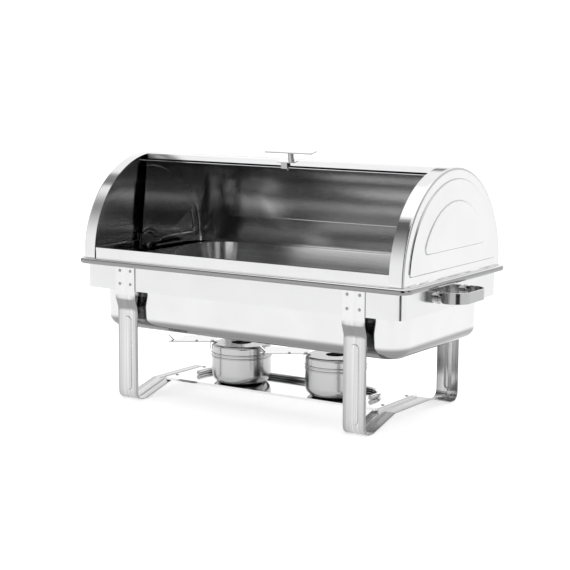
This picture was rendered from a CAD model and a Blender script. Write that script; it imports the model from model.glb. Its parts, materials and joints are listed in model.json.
"""Roll-top chafing dish: materials, hood ends, floor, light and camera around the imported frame."""

import json
from collections import namedtuple
from math import atan2, cos, pi, radians, sin, sqrt

import bmesh
import bpy
from mathutils import Matrix, Vector


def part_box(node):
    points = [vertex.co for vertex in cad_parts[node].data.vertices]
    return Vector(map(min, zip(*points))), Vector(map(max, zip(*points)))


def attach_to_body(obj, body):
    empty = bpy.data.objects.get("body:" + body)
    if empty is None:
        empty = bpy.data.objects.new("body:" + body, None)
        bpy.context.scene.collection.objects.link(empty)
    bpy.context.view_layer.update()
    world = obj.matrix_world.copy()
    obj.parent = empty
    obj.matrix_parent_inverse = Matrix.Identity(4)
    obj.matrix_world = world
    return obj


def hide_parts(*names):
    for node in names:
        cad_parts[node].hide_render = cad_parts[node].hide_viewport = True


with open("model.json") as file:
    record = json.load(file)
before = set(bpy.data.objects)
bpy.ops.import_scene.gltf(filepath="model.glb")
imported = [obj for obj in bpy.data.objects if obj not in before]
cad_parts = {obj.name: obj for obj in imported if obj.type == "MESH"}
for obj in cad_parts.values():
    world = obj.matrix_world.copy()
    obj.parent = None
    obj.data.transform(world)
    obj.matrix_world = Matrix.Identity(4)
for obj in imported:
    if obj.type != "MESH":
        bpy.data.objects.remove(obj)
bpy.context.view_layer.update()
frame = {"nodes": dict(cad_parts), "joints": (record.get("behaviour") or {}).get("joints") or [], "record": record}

# ------------------------------------------------------------------ measures, metres
HINGE = next(joint for joint in frame["joints"] if joint["name"] == "roll_lid_hinge")
PIVOT_Z = HINGE["pos_m"][2]

# Each pair is where a mask starts to change and where it has changed fully.
RIM_HEIGHT = (0.2262, 0.2272)
PAN_TURN_HEIGHT = (0.1320, 0.1400)
STRAP_X = 0.220
STRAP_EDGE = (0.010, 0.021)
STRAP_RIB = (0.0, 0.0085)
BEND_START_HEIGHT = (0.150, 0.158)
BEND_END_HEIGHT = (0.168, 0.174)
PLATE_HEIGHT = (0.172, 0.182)
LID_SEAM_RADIUS = (0.1405, 0.1425)
BEAD_RADII = (0.024, 0.031)
BEAD_WIDTH = (0.0, 0.003)

# Pressed end of the hood: a band, a rolled fold, a margin, a raised field with a level ledge, and a
# raised emblem whose face runs from its outer ring to its inner one.
SHEET = 0.0008
BAND_WIDTH = 0.024
FOLD_RADIUS = 0.004
BAND_CORNER = 0.0004
STEP_WIDTH = 0.0016
SUPPORT_GAP = 0.0004
FIELD_RISE = 0.0020
FIELD_MARGIN = 0.0172
FIELD_BASE_MARGIN = 0.0134
FIELD_CORNER = 0.005
LEDGE_RADIUS = 0.1190
LEDGE_CENTRE = 0.2416
LEDGE_BASE = 0.2736
LEDGE_CORNER = 0.007
EMBLEM_STEP = 0.0014
EMBLEM_RISE = 0.0035
EMBLEM_CENTRE = 0.242
EMBLEM_RADIUS = 0.1126
EMBLEM_BASE = 0.2784
EMBLEM_CORNER = 0.008
FACE_RADII = (0.1080, 0.0900, 0.0650, 0.0500)
FACE_CENTRES = (EMBLEM_CENTRE, 0.2700)
FACE_BASES = (0.2828, 0.3000)
CREASE_ANGLE = radians(32.0)
BASE_STEPS = 24
CORNER_STEPS = 8
ARC_STEPS = 96
FOLD_STEPS = 6
PRESS_STEPS = 6
BAND_STRIPS = 2 + FOLD_STEPS
Ring = namedtuple("Ring", "x radius centre base corner creased")
Inside = namedtuple("Inside", "mask tone rough")
Shape = namedtuple("Shape", "relief depth")

# Noise scales, per metre along X, Y and Z.
ALONG_X = (6.0, 900.0, 900.0)
SOFT_ALONG_X = (3.0, 260.0, 260.0)
ALONG_Z = (900.0, 900.0, 6.0)
ROUND_Z = (12.0, 12.0, 1400.0)
EVEN = (500.0, 500.0, 500.0)
STREAKS = (420.0, 3.0, 3.0)
CLOUDS = (14.0, 14.0, 14.0)
WAVES = (9.0, 9.0, 9.0)
PAPER = (3.0, 3.0, 3.0)

# How steel varies, as factors of its tone and roughness, and its bump strengths.
BLUE_TINT = 1.004
CLOUD_TONE = 0.95
DULL_TONE = 0.38
LINE_GLOSS = (0.75, 1.1)
CLOUD_GLOSS = 0.35
NOISE_ROUGHNESS = 0.55
NOISE_MIDDLE = (0.3, 0.7)
GRAIN_STRENGTH = 0.35
WAVE_STRENGTH = 0.6
GRAIN_DEPTH = 0.00001
SOFT_GRAIN_DEPTH = 0.000005
RIB_DEPTH = 0.0016
BEAD_DEPTH = 0.0012
STREAK_TOP = 0.9
LEG_DULLNESS = 0.55

# Which way a face looks. The first three are Z of its normal. The last is metres from the hinge
# axis to the face, out along its normal, so it is negative on the hollow side.
LEVEL_TOP = (0.45, 0.85)
LEVEL_UNDERSIDE = (0.90, 0.98)
CUT_EDGE = 0.5
HOLLOW_LIMIT = -0.05

# Studio.
WHITE = (1.0, 1.0, 1.0, 1.0)
FLOOR_CORNERS = ((-9.0, -1.50), (0.05, -1.50), (0.36, -1.02), (0.98, -0.62), (9.0, 1.5),
                 (9.0, 9.0), (-9.0, 9.0))
FLOOR_DROP = 0.0002
FLOOR_ROUGHNESS = 0.7
FLOOR_SPECULAR = 0.2
FLOOR_GLOW = 0.54
FLOOR_TONES = ((0.72, 0.72, 0.72, 1.0), (0.75, 0.75, 0.75, 1.0))
STUDIO_STRENGTH = 1.22
BACKGROUND_STRENGTH = 1.05
SOFTBOX_PLACE = (0.0, -0.2, 2.2)
SOFTBOX_AIM = (0.0, 0.0, 0.2)
SOFTBOX_SIZE = (2.4, 1.6)
SOFTBOX_WATTS = 5.0

# Dark openings in the white studio. Middle and half width are degrees of azimuth, from the front
# toward the right. Low, high and soft are sines of elevation. Depth is the share of light taken.
Opening = namedtuple("Opening", "middle half low high soft depth")
OPENINGS = (
    Opening(middle=42.0, half=12.0, low=-0.9, high=0.75, soft=0.05, depth=0.97),
    Opening(middle=-10.0, half=39.0, low=0.47, high=0.79, soft=0.31, depth=0.94),
    Opening(middle=-92.0, half=9.0, low=-0.5, high=0.80, soft=0.10, depth=0.85),
    Opening(middle=104.0, half=8.0, low=-0.5, high=0.60, soft=0.10, depth=0.80),
    Opening(middle=-151.5, half=3.5, low=0.30, high=0.46, soft=0.02, depth=0.80),
    Opening(middle=-145.5, half=2.0, low=-0.07, high=0.07, soft=0.02, depth=0.65),
    Opening(middle=-138.0, half=3.0, low=-0.05, high=0.14, soft=0.03, depth=0.50),
)
OPENING_FADE = 1.6
OPENING_TOP_SOFT = 0.02

# Camera.
CAMERA_AZIMUTH = radians(33.044)
CAMERA_ELEVATION = radians(8.614)
CAMERA_ROLL = radians(-0.349)
CAMERA_DISTANCE = 2.5524
AIM_HEIGHT = 0.19456
AIM_SHIFT = -0.00699
LENS_MM = 96.357
SENSOR_MM = 36.0
CLIP_START = 0.05
CLIP_END = 100.0


# ------------------------------------------------------------------ node helpers
def nodes_of(material):
    """Empty node tree of a material, with its output."""
    material.use_nodes = True
    tree = material.node_tree
    tree.nodes.clear()
    output = tree.nodes.new("ShaderNodeOutputMaterial")
    return tree, output


def attach(tree, value, socket):
    """Link an output, or set a constant."""
    if hasattr(value, "is_output"):
        tree.links.new(value, socket)
    else:
        socket.default_value = value


def math_node(tree, operation, *values):
    """One math node, given its inputs in order."""
    node = tree.nodes.new("ShaderNodeMath")
    node.operation = operation
    for socket, value in zip(node.inputs, values):
        attach(tree, value, socket)
    return node.outputs["Value"]


def product(tree, first, second):
    """First times second."""
    return math_node(tree, "MULTIPLY", first, second)


def total(tree, first, second):
    """First plus second."""
    return math_node(tree, "ADD", first, second)


def difference(tree, first, second):
    """First minus second."""
    return math_node(tree, "SUBTRACT", first, second)


def inverse(tree, value):
    """One minus a value."""
    return difference(tree, 1.0, value)


def magnitude(tree, value):
    """A value without its sign."""
    return math_node(tree, "ABSOLUTE", value)


def smooth_between(tree, value, low, high):
    """0 below low, 1 above high, eased between."""
    node = tree.nodes.new("ShaderNodeMapRange")
    node.interpolation_type = "SMOOTHSTEP"
    node.inputs["From Min"].default_value = low
    node.inputs["From Max"].default_value = high
    tree.links.new(value, node.inputs["Value"])
    return node.outputs["Result"]


def blend(tree, factor, first, second):
    """Colour mix."""
    node = tree.nodes.new("ShaderNodeMix")
    node.data_type = "RGBA"
    attach(tree, factor, node.inputs["Factor"])
    attach(tree, first, node.inputs["A"])
    attach(tree, second, node.inputs["B"])
    return node.outputs["Result"]


def axes_of(tree, output="Object"):
    """X, Y and Z of a texture coordinate."""
    coords = tree.nodes.new("ShaderNodeTexCoord")
    split = tree.nodes.new("ShaderNodeSeparateXYZ")
    tree.links.new(coords.outputs[output], split.inputs["Vector"])
    return split.outputs["X"], split.outputs["Y"], split.outputs["Z"]


def noise(tree, scale, detail=3.0):
    """Noise in the object's own coordinates, with a scale for each axis."""
    coords = tree.nodes.new("ShaderNodeTexCoord")
    mapping = tree.nodes.new("ShaderNodeMapping")
    mapping.inputs["Scale"].default_value = scale
    texture = tree.nodes.new("ShaderNodeTexNoise")
    texture.inputs["Scale"].default_value = 1.0
    texture.inputs["Detail"].default_value = detail
    texture.inputs["Roughness"].default_value = NOISE_ROUGHNESS
    tree.links.new(coords.outputs["Object"], mapping.inputs["Vector"])
    tree.links.new(mapping.outputs["Vector"], texture.inputs["Vector"])
    return texture.outputs["Fac"]


def spread(tree, value, low, high):
    """The middle of a noise value, mapped to a range."""
    ramp = tree.nodes.new("ShaderNodeMapRange")
    ramp.inputs["From Min"].default_value = NOISE_MIDDLE[0]
    ramp.inputs["From Max"].default_value = NOISE_MIDDLE[1]
    ramp.inputs["To Min"].default_value = low
    ramp.inputs["To Max"].default_value = high
    tree.links.new(value, ramp.inputs["Value"])
    return ramp.outputs["Result"]


def bump(tree, height, strength, depth, under=None):
    """Normal pressed in by a height, on top of another normal if there is one."""
    node = tree.nodes.new("ShaderNodeBump")
    node.inputs["Strength"].default_value = strength
    node.inputs["Distance"].default_value = depth
    tree.links.new(height, node.inputs["Height"])
    if under is not None:
        tree.links.new(under, node.inputs["Normal"])
    return node.outputs["Normal"]


# ------------------------------------------------------------------ masks and reliefs
def hinge_offset(tree):
    """Distances from the hinge axis, along Y and up."""
    across, height = axes_of(tree)[1:]
    return across, difference(tree, height, PIVOT_Z)


def rim_mask(tree):
    """The rolled rim of the water pan and the turn into its bottom, which the press leaves duller."""
    height = axes_of(tree)[2]
    facing = axes_of(tree, "Normal")[2]
    level = smooth_between(tree, facing, *LEVEL_TOP)
    bottom = smooth_between(tree, product(tree, facing, -1.0), *LEVEL_UNDERSIDE)
    rim = product(tree, smooth_between(tree, height, *RIM_HEIGHT), inverse(tree, level))
    under = inverse(tree, smooth_between(tree, height, *PAN_TURN_HEIGHT))
    turn = product(tree, under, inverse(tree, bottom))
    return math_node(tree, "MAXIMUM", rim, turn)


def strap_middle(tree):
    """Distance across a leg strap, from its middle."""
    along = magnitude(tree, axes_of(tree)[0])
    return magnitude(tree, difference(tree, along, STRAP_X))


def strap_mask(tree):
    """Duller edges and bends of a leg strap, and streaks left by rolling."""
    height = axes_of(tree)[2]
    edge = smooth_between(tree, strap_middle(tree), *STRAP_EDGE)
    streaks = spread(tree, noise(tree, STREAKS), 0.0, STREAK_TOP)
    bend = product(tree, smooth_between(tree, height, *BEND_START_HEIGHT),
                   inverse(tree, smooth_between(tree, height, *BEND_END_HEIGHT)))
    plate = smooth_between(tree, height, *PLATE_HEIGHT)
    leg = product(tree, total(tree, edge, streaks), LEG_DULLNESS)
    leg = product(tree, leg, inverse(tree, plate))
    return math_node(tree, "MINIMUM", total(tree, leg, bend), 1.0)


def strap_rib(tree):
    """Rounding over the pressed rib of a leg."""
    return inverse(tree, smooth_between(tree, strap_middle(tree), *STRAP_RIB))


def side_beads(tree):
    """Ridges pressed into the lid's side plates round the hinge, and the step along their seam."""
    across, lifted = hinge_offset(tree)
    squares = total(tree, product(tree, across, across), product(tree, lifted, lifted))
    reach = math_node(tree, "SQRT", squares)
    relief = smooth_between(tree, reach, *LID_SEAM_RADIUS)
    for middle in BEAD_RADII:
        away = magnitude(tree, difference(tree, reach, middle))
        relief = total(tree, relief, inverse(tree, smooth_between(tree, away, *BEAD_WIDTH)))
    return relief


def hollow_mask(tree):
    """Faces of the hood and lid that look toward the hinge axis."""
    across, lifted = hinge_offset(tree)
    facing_across, facing_height = axes_of(tree, "Normal")[1:]
    outward = total(tree, product(tree, across, facing_across), product(tree, lifted, facing_height))
    return math_node(tree, "LESS_THAN", outward, HOLLOW_LIMIT)


def edge_mask(tree):
    """Cut edges of a level sheet."""
    upward = magnitude(tree, axes_of(tree, "Normal")[2])
    return math_node(tree, "LESS_THAN", upward, CUT_EDGE)


# ------------------------------------------------------------------ steel
def grey(value):
    """Nearly neutral colour of steel."""
    return (value, value, value * BLUE_TINT, 1.0)


def steel_finish(tree, tone, rough, lines, dull, inside):
    """Colour and roughness, with cloudy smudges, duller places and an inner side of its own."""
    clouds = noise(tree, CLOUDS, detail=5.0)
    tint = blend(tree, spread(tree, clouds, 0.0, 1.0), grey(tone * CLOUD_TONE), grey(tone))
    gloss = total(tree, spread(tree, lines, rough * LINE_GLOSS[0], rough * LINE_GLOSS[1]),
                  spread(tree, clouds, 0.0, rough * CLOUD_GLOSS))
    if dull:
        tint = blend(tree, dull(tree), tint, grey(tone * DULL_TONE))
    if inside:
        inner = inside.mask(tree)
        tint = blend(tree, inner, tint, grey(inside.tone))
        gloss = math_node(tree, "MAXIMUM", gloss, product(tree, inner, inside.rough))
    return tint, gloss


def steel_relief(tree, lines, grain_depth, wave, shape):
    """Normal with faint waves of the rolled sheet, fine grain and a pressed shape."""
    normal = None
    if wave:
        normal = bump(tree, noise(tree, WAVES, detail=1.0), WAVE_STRENGTH, wave)
    normal = bump(tree, lines, GRAIN_STRENGTH, grain_depth, normal)
    if shape:
        normal = bump(tree, shape.relief(tree), 1.0, shape.depth, normal)
    return normal


def steel(name, tone, rough, grain, grain_depth=GRAIN_DEPTH, wave=0.0, dull=None, inside=None, shape=None):
    """Stainless steel; dull is a mask, inside an Inside and shape a Shape, where they are given."""
    material = bpy.data.materials.new(name)
    tree, output = nodes_of(material)
    shader = tree.nodes.new("ShaderNodeBsdfPrincipled")
    shader.inputs["Metallic"].default_value = 1.0
    tree.links.new(shader.outputs["BSDF"], output.inputs["Surface"])
    lines = noise(tree, grain, detail=4.0)
    tint, gloss = steel_finish(tree, tone, rough, lines, dull, inside)
    tree.links.new(tint, shader.inputs["Base Color"])
    tree.links.new(gloss, shader.inputs["Roughness"])
    normal = steel_relief(tree, lines, grain_depth, wave, shape)
    tree.links.new(normal, shader.inputs["Normal"])
    return material


slot_steels = {
    "pan_steel": steel("pan_steel", tone=0.69, rough=0.08, grain=SOFT_ALONG_X,
                       grain_depth=SOFT_GRAIN_DEPTH, wave=0.0004, dull=rim_mask),
    "frame_steel": steel("frame_steel", tone=0.67, rough=0.15, grain=ALONG_X, wave=0.0003),
    "fastener_steel": steel("fastener_steel", tone=0.30, rough=0.28, grain=EVEN),
    "bright_steel": steel("bright_steel", tone=0.78, rough=0.10, grain=EVEN,
                          inside=Inside(edge_mask, tone=0.38, rough=0.12)),
    "shelf_steel": steel("shelf_steel", tone=0.82, rough=0.08, grain=ALONG_X, wave=0.0002),
    "hood_steel": steel("hood_steel", tone=0.70, rough=0.13, grain=SOFT_ALONG_X,
                        grain_depth=SOFT_GRAIN_DEPTH, wave=0.0002,
                        inside=Inside(hollow_mask, tone=0.80, rough=0.19)),
    "burner_steel": steel("burner_steel", tone=0.50, rough=0.17, grain=ROUND_Z),
}
strap_steel = steel("frame_steel_strap", tone=0.71, rough=0.20, grain=ALONG_Z, dull=strap_mask,
                    shape=Shape(strap_rib, RIB_DEPTH))
side_steel = steel("hood_steel_side", tone=0.36, rough=0.12, grain=ALONG_X,
                   shape=Shape(side_beads, BEAD_DEPTH))
crease_steel = steel("hood_steel_crease", tone=0.46, rough=0.16, grain=EVEN)
food_steel = steel("pan_steel_food", tone=0.60, rough=0.20, grain=SOFT_ALONG_X,
                   grain_depth=SOFT_GRAIN_DEPTH, wave=0.0003)
flap_steel = steel("burner_steel_flap", tone=0.86, rough=0.07, grain=EVEN,
                   inside=Inside(edge_mask, tone=0.12, rough=0.30))
node_steels = {"food_pan": food_steel}
for side_name in ("left", "right"):
    node_steels[f"{side_name}_leg_strap"] = strap_steel
    node_steels[f"{side_name}_lid_side"] = side_steel
    node_steels[f"{side_name}_snuffer_flap"] = flap_steel


def dress_nodes():
    """Give each CAD node its own steel, or the steel of its slot."""
    for part in frame["record"]["subparts"]:
        finish = node_steels.get(part["node"], slot_steels[part["material_slot"]])
        node = frame["nodes"][part["node"]]
        node.data.materials.clear()
        node.data.materials.append(finish)


dress_nodes()


# ------------------------------------------------------------------ end covers
def arch_outline(radius, centre, base, corner):
    """Points round a half disc with a flat base and rounded base corners, in Y and Z."""
    across = sqrt((radius - corner) ** 2 - (base + corner - centre) ** 2)
    start = atan2(base + corner - centre, across)
    points = []
    for step in range(BASE_STEPS):
        points.append((-across + 2 * across * step / BASE_STEPS, base))
    for step in range(CORNER_STEPS):
        turn = -pi / 2 + (start + pi / 2) * step / CORNER_STEPS
        points.append((across + corner * cos(turn), base + corner + corner * sin(turn)))
    for step in range(ARC_STEPS):
        turn = start + (pi - 2 * start) * step / ARC_STEPS
        points.append((radius * cos(turn), centre + radius * sin(turn)))
    for step in range(CORNER_STEPS):
        turn = pi - start + (start + pi / 2) * step / CORNER_STEPS
        points.append((-across + corner * cos(turn), base + corner + corner * sin(turn)))
    return points


def eased(fraction):
    """Smooth rise from 0 to 1."""
    return fraction * fraction * (3.0 - 2.0 * fraction)


def band_rings(flat, radius, base):
    """Rings of the outer band and of the fold that turns it into the flat end."""
    rings = [Ring(x, radius, PIVOT_Z, base, BAND_CORNER, False)
             for x in (flat - BAND_WIDTH, flat - FOLD_RADIUS - SUPPORT_GAP, flat - FOLD_RADIUS)]
    for step in range(1, FOLD_STEPS + 1):
        turn = step / FOLD_STEPS * pi / 2
        rings.append(Ring(flat - FOLD_RADIUS + FOLD_RADIUS * sin(turn),
                          radius - FOLD_RADIUS * (1 - cos(turn)),
                          PIVOT_Z, base, BAND_CORNER, step > FOLD_STEPS // 2))
    rings.append(Ring(flat, radius - FOLD_RADIUS - SUPPORT_GAP, PIVOT_Z, base, BAND_CORNER, True))
    return rings


def step_rings(start, rise, radius, centre, base, corner):
    """Rings across one pressed step, with a flat ring held close to each side of it."""
    rings = [Ring(start, radius + SUPPORT_GAP, centre, base - SUPPORT_GAP, corner, False)]
    for step in range(PRESS_STEPS + 1):
        part = step / PRESS_STEPS
        inset = STEP_WIDTH * part
        rings.append(Ring(start + rise * eased(part), radius - inset, centre, base + inset,
                          corner, step > 0))
    inset = STEP_WIDTH + SUPPORT_GAP
    rings.append(Ring(start + rise, radius - inset, centre, base + inset, corner, False))
    return rings


def face_rings(flat):
    """Rings that fill the emblem, a little fuller in the middle."""
    first, last = FACE_RADII[0], FACE_RADII[-1]
    rings = []
    for radius in FACE_RADII:
        inward = (first - radius) / (first - last)
        centre = FACE_CENTRES[0] + (FACE_CENTRES[1] - FACE_CENTRES[0]) * inward
        base = FACE_BASES[0] + (FACE_BASES[1] - FACE_BASES[0]) * inward
        rise = EMBLEM_RISE if inward > 0.5 else FIELD_RISE + EMBLEM_STEP
        rings.append(Ring(flat + rise, radius, centre, base, EMBLEM_CORNER, False))
    return rings


def cover_rings(box):
    """Rings of the pressed end from the band inwards. A creased ring has a creased strip before it."""
    flat = box[1].x - EMBLEM_RISE
    base = box[0].z
    radius = box[1].z - PIVOT_Z
    field = flat + FIELD_RISE
    rings = band_rings(flat, radius, base)
    rings += step_rings(flat, FIELD_RISE, radius - FIELD_MARGIN, PIVOT_Z, base + FIELD_BASE_MARGIN,
                        FIELD_CORNER)
    rings.append(Ring(field, LEDGE_RADIUS, LEDGE_CENTRE, LEDGE_BASE, LEDGE_CORNER, False))
    rings += step_rings(field, EMBLEM_STEP, EMBLEM_RADIUS, EMBLEM_CENTRE, EMBLEM_BASE, EMBLEM_CORNER)
    return rings + face_rings(flat)


def cover_mesh(side):
    """Strips between the rings; side is 1 on the right and -1 on the left."""
    rings = cover_rings(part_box("right_end_cover"))
    mesh = bmesh.new()
    loops = []
    for ring in rings:
        outline = arch_outline(ring.radius, ring.centre, ring.base, ring.corner)
        loops.append([mesh.verts.new((side * ring.x, y, z)) for y, z in outline])
    count = len(loops[0])
    # The band and the fold are open at the base.
    for number, (outer, inner) in enumerate(zip(loops, loops[1:])):
        first = BASE_STEPS if number < BAND_STRIPS else 0
        for spot in range(first, count):
            following = (spot + 1) % count
            corners = [outer[spot], outer[following], inner[following], inner[spot]]
            face = mesh.faces.new(corners if side > 0 else corners[::-1])
            face.material_index = int(rings[number + 1].creased)
    mesh.faces.new(loops[-1] if side > 0 else loops[-1][::-1])
    return mesh


def finished(mesh, name, finishes):
    """Object from a bmesh, smooth shaded."""
    data = bpy.data.meshes.new(name)
    mesh.normal_update()
    mesh.to_mesh(data)
    mesh.free()
    data.polygons.foreach_set("use_smooth", [True] * len(data.polygons))
    for finish in finishes:
        data.materials.append(finish)
    piece = bpy.data.objects.new(name, data)
    bpy.context.scene.collection.objects.link(piece)
    return piece


def thicken(piece, thickness):
    """Give a sheet its thickness on the inside, and keep its edges crisp."""
    shell = piece.modifiers.new("sheet", "SOLIDIFY")
    shell.thickness = thickness
    shell.offset = -1.0
    graph = bpy.context.evaluated_depsgraph_get()
    solid = bpy.data.meshes.new_from_object(piece.evaluated_get(graph))
    piece.modifiers.clear()
    piece.data = solid
    solid.set_sharp_from_angle(angle=CREASE_ANGLE)


def make_end_cover(side):
    """Band, rolled fold, sunk margin and raised emblem of one end of the hood."""
    name = "right" if side > 0 else "left"
    piece = finished(cover_mesh(side), f"{name}_pressed_end", (slot_steels["hood_steel"], crease_steel))
    thicken(piece, SHEET)
    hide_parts(f"{name}_end_cover")
    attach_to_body(piece, "hood")


make_end_cover(1)
make_end_cover(-1)


# ------------------------------------------------------------------ floor
def floor_paper():
    """White paper with a faint cloudiness and a little light of its own."""
    material = bpy.data.materials.new("floor_paper")
    tree, output = nodes_of(material)
    shader = tree.nodes.new("ShaderNodeBsdfPrincipled")
    shader.inputs["Roughness"].default_value = FLOOR_ROUGHNESS
    shader.inputs["Specular IOR Level"].default_value = FLOOR_SPECULAR
    shader.inputs["Emission Color"].default_value = WHITE
    shader.inputs["Emission Strength"].default_value = FLOOR_GLOW
    shade = blend(tree, noise(tree, PAPER), *FLOOR_TONES)
    tree.links.new(shade, shader.inputs["Base Color"])
    tree.links.new(shader.outputs["BSDF"], output.inputs["Surface"])
    return material


def make_floor():
    """Wide white studio floor that ends between the object and the camera."""
    mesh = bpy.data.meshes.new("floor")
    outline = bmesh.new()
    outline.faces.new([outline.verts.new((x, y, 0.0)) for x, y in FLOOR_CORNERS])
    outline.to_mesh(mesh)
    outline.free()
    floor = bpy.data.objects.new("floor", mesh)
    bpy.context.scene.collection.objects.link(floor)
    floor.location.z = -FLOOR_DROP
    mesh.materials.append(floor_paper())


make_floor()


# ------------------------------------------------------------------ light
def opening_factor(tree, azimuth, height, opening):
    """Brightness factor that falls to 1 - depth inside one opening."""
    from_middle = difference(tree, azimuth, radians(opening.middle))
    away = magnitude(tree, math_node(tree, "WRAP", from_middle, pi, -pi))
    half = radians(opening.half)
    across = inverse(tree, smooth_between(tree, away, half, half * OPENING_FADE))
    above = smooth_between(tree, height, opening.low - opening.soft, opening.low + opening.soft)
    below = inverse(tree, smooth_between(tree, height, opening.high - OPENING_TOP_SOFT,
                                         opening.high + OPENING_TOP_SOFT))
    window = product(tree, across, product(tree, above, below))
    return inverse(tree, product(tree, window, opening.depth))


def background(tree, colour, strength):
    """Background shader of a linked or constant colour."""
    node = tree.nodes.new("ShaderNodeBackground")
    attach(tree, colour, node.inputs["Color"])
    node.inputs["Strength"].default_value = strength
    return node.outputs["Background"]


def make_world():
    """White studio with a few dark openings that the metal picks up, on a plain white background."""
    world = bpy.data.worlds.new("studio")
    bpy.context.scene.world = world
    world.use_nodes = True
    tree = world.node_tree
    tree.nodes.clear()
    output = tree.nodes.new("ShaderNodeOutputWorld")
    east, north, height = axes_of(tree, "Generated")
    azimuth = math_node(tree, "ARCTAN2", east, product(tree, north, -1.0))
    level = opening_factor(tree, azimuth, height, OPENINGS[0])
    for opening in OPENINGS[1:]:
        level = product(tree, level, opening_factor(tree, azimuth, height, opening))
    path = tree.nodes.new("ShaderNodeLightPath")
    mix = tree.nodes.new("ShaderNodeMixShader")
    tree.links.new(path.outputs["Is Camera Ray"], mix.inputs["Fac"])
    tree.links.new(background(tree, level, STUDIO_STRENGTH), mix.inputs[1])
    tree.links.new(background(tree, WHITE, BACKGROUND_STRENGTH), mix.inputs[2])
    tree.links.new(mix.outputs["Shader"], output.inputs["Surface"])


def make_softbox():
    """Faint rectangular lamp overhead."""
    lamp = bpy.data.lights.new("top_softbox", "AREA")
    lamp.shape = "RECTANGLE"
    lamp.size, lamp.size_y = SOFTBOX_SIZE
    lamp.energy = SOFTBOX_WATTS
    holder = bpy.data.objects.new("top_softbox", lamp)
    bpy.context.scene.collection.objects.link(holder)
    holder.location = SOFTBOX_PLACE
    direction = Vector(SOFTBOX_AIM) - Vector(SOFTBOX_PLACE)
    holder.rotation_euler = direction.to_track_quat("-Z", "Y").to_euler()


make_world()
make_softbox()


# ------------------------------------------------------------------ camera
def camera_pose():
    """Place and turn of the camera: front right, a little above the rim, with a slight roll."""
    toward = Vector((sin(CAMERA_AZIMUTH) * cos(CAMERA_ELEVATION),
                     -cos(CAMERA_AZIMUTH) * cos(CAMERA_ELEVATION), sin(CAMERA_ELEVATION)))
    right = Vector((cos(CAMERA_AZIMUTH), sin(CAMERA_AZIMUTH), 0.0))
    up = toward.cross(right)
    aim = Vector((0.0, 0.0, AIM_HEIGHT)) + right * AIM_SHIFT
    tilted_right = right * cos(CAMERA_ROLL) - up * sin(CAMERA_ROLL)
    tilted_up = right * sin(CAMERA_ROLL) + up * cos(CAMERA_ROLL)
    turn = Matrix((tilted_right, tilted_up, toward)).transposed()
    return Matrix.Translation(aim + toward * CAMERA_DISTANCE) @ turn.to_4x4()


def make_camera():
    """Long lens at the camera's pose."""
    camera = bpy.data.objects.new("camera", bpy.data.cameras.new("camera"))
    bpy.context.scene.collection.objects.link(camera)
    camera.data.sensor_width = SENSOR_MM
    camera.data.lens = LENS_MM
    camera.data.clip_start = CLIP_START
    camera.data.clip_end = CLIP_END
    camera.matrix_world = camera_pose()
    bpy.context.scene.camera = camera


make_camera()
bpy.context.scene.view_settings.view_transform = "Standard"
